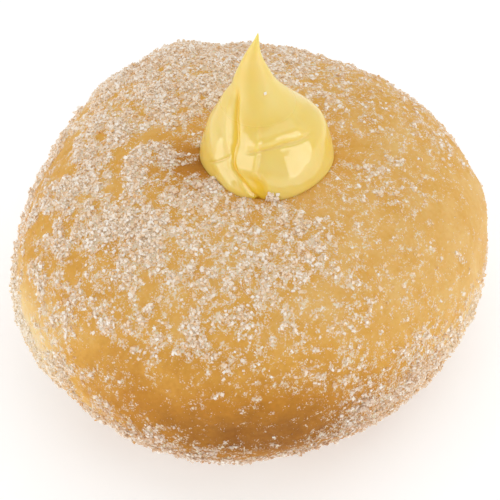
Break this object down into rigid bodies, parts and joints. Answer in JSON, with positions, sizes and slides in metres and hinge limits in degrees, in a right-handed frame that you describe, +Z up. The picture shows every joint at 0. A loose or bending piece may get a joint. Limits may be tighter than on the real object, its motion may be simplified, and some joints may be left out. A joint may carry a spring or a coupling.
{
  "type": "filled doughnut",
  "caption": "Round sugar-coated yeast doughnut, plump and pale at the waist, with a pointed kiss of yellow custard piped in a dimple on top.",
  "frame": {"origin": "on the surface that the doughnut stands on, under the middle of its outline", "axes": "+Z up through the crown, -Y the front that shows the custard's fold, +X to the right of that front"},
  "size_m": [0.0896, 0.0922, 0.0722],
  "materials": {
    "crust": "satin",
    "custard": "gloss",
    "sugar": "satin"
  },
  "bodies": {
    "root": {"dough": "crust", "custard": "custard"}
  },
  "joints": []
}
